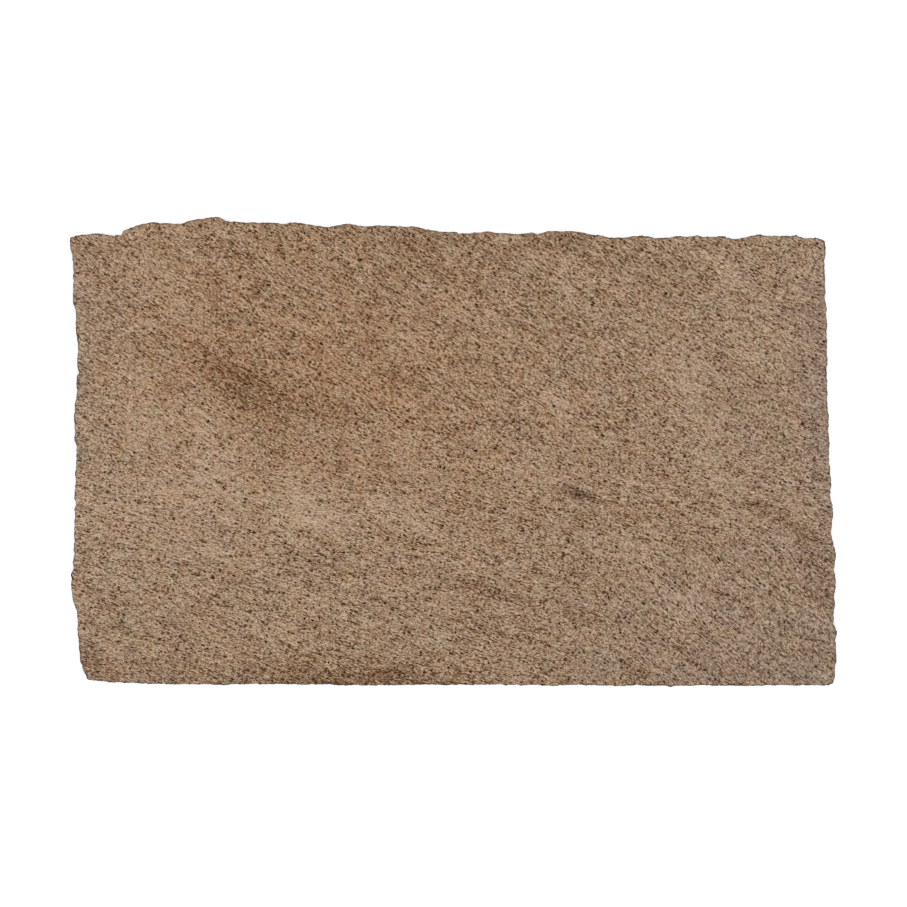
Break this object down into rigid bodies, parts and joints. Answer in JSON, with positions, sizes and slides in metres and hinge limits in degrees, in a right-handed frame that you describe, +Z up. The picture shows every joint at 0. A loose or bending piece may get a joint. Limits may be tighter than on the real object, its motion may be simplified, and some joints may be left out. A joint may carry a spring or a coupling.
{
  "type": "rough granite slab",
  "caption": "Large flat slab of brown granite with slanting grain, polished on its face and sawn on its back, with the block's rough broken edges all round.",
  "frame": {"origin": "middle of the slab's box, on the surface that it lies on", "axes": "+X along the slab's length, +Y across it towards the edge with the ledges, +Z up out of the polished face"},
  "size_m": [3.0726, 1.8848, 0.03],
  "materials": {
    "granite": "polished face, diamond-sawn back, broken edges"
  },
  "bodies": {
    "root": {"granite_slab": "granite"}
  },
  "joints": []
}
